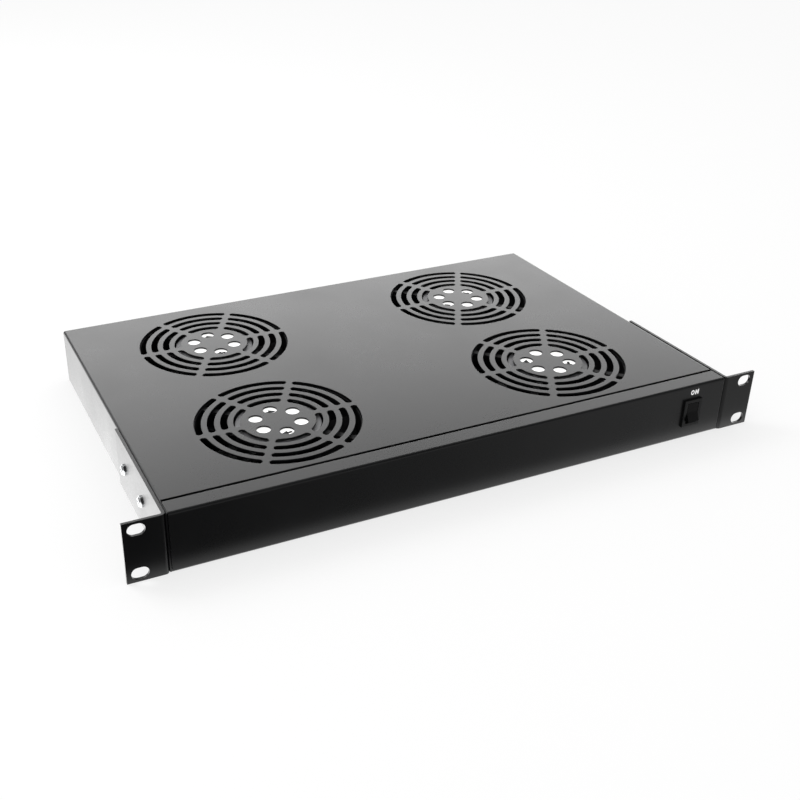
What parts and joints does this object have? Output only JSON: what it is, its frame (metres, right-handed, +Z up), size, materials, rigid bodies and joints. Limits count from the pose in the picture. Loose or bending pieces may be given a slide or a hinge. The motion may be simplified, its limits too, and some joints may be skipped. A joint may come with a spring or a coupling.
{
  "type": "rack fan tray",
  "caption": "Flat 19 inch rack tray that blows air up through axial fans under round slotted grilles, with ear brackets, a front rocker switch and a rear mains inlet.",
  "frame": {"origin": "middle of the rack ears' slot pattern, on the rear faces of the ears where they meet the rack rails", "axes": "+X to the right seen from the front, +Y to the rear, +Z up; the front panel faces -Y"},
  "size_m": [0.4826, 0.294, 0.0436],
  "materials": {
    "black_powder": "semi-gloss black powder coat",
    "zinc": "bright zinc plating",
    "black_plastic": "satin moulded plastic",
    "tinned_brass": "tin-plated brass",
    "black_cast": "satin black paint on cast aluminium",
    "shaft_steel": "ground steel",
    "bearing_bronze": "sintered bronze",
    "stator_iron": "varnished laminations",
    "rotor_iron": "bare rolled steel",
    "gasket_rubber": "matt black rubber",
    "white_label": "matt white film",
    "lead_sheath": "satin black PVC sheath",
    "earth_sheath": "green and yellow PVC sheath",
    "block_moulding": "pale moulded plastic"
  },
  "bodies": {
    "root": {"base_pan": "black_powder", "ear_nuts": "zinc", "ear_screws": "zinc", "earth_bond": "zinc", "earth_lead": "earth_sheath", "fan1_bearing": "bearing_bronze", "fan1_frame": "black_cast", "fan1_label": "white_label", "fan1_stator": "stator_iron", "fan2_bearing": "bearing_bronze", "fan2_frame": "black_cast", "fan2_label": "white_label", "fan2_stator": "stator_iron", "fan3_bearing": "bearing_bronze", "fan3_frame": "black_cast", "fan3_label": "white_label", "fan3_stator": "stator_iron", "fan4_bearing": "bearing_bronze", "fan4_frame": "black_cast", "fan4_label": "white_label", "fan4_stator": "stator_iron", "fan_gaskets": "gasket_rubber", "fan_leads": "lead_sheath", "fan_screws": "zinc", "inlet_body": "black_plastic", "inlet_nuts": "zinc", "inlet_pins": "tinned_brass", "inlet_screws": "zinc", "left_ear": "black_powder", "mains_leads": "lead_sheath", "rear_nuts": "zinc", "rear_screws": "zinc", "right_ear": "black_powder", "switch_housing": "black_plastic", "switch_terminals": "tinned_brass", "terminal_block": "block_moulding", "top_cover": "black_powder"},
    "switch_rocker": {"switch_rocker": "black_plastic"},
    "fan1_rotor": {"fan1_impeller": "black_plastic", "fan1_shaft": "shaft_steel", "fan1_rotor_ring": "rotor_iron"},
    "fan2_rotor": {"fan2_impeller": "black_plastic", "fan2_shaft": "shaft_steel", "fan2_rotor_ring": "rotor_iron"},
    "fan3_rotor": {"fan3_impeller": "black_plastic", "fan3_shaft": "shaft_steel", "fan3_rotor_ring": "rotor_iron"},
    "fan4_rotor": {"fan4_impeller": "black_plastic", "fan4_shaft": "shaft_steel", "fan4_rotor_ring": "rotor_iron"}
  },
  "joints": [
    {"name": "fan1_spin", "type": "hinge", "parent": "root", "child": "fan1_rotor", "pos_m": [-0.1104, 0.0765, 0.00087], "axis": [0, 0, 1], "continuous": true},
    {"name": "fan2_spin", "type": "hinge", "parent": "root", "child": "fan2_rotor", "pos_m": [0.1104, 0.0765, 0.00087], "axis": [0, 0, 1], "continuous": true},
    {"name": "fan3_spin", "type": "hinge", "parent": "root", "child": "fan3_rotor", "pos_m": [-0.1104, 0.2121, 0.00087], "axis": [0, 0, 1], "continuous": true},
    {"name": "fan4_spin", "type": "hinge", "parent": "root", "child": "fan4_rotor", "pos_m": [0.1104, 0.2121, 0.00087], "axis": [0, 0, 1], "continuous": true},
    {"name": "switch_rock", "type": "hinge", "parent": "root", "child": "switch_rocker", "pos_m": [0.185, -0.0002, 0], "axis": [1, 0, 0], "range_deg": [0, 24]}
  ]
}
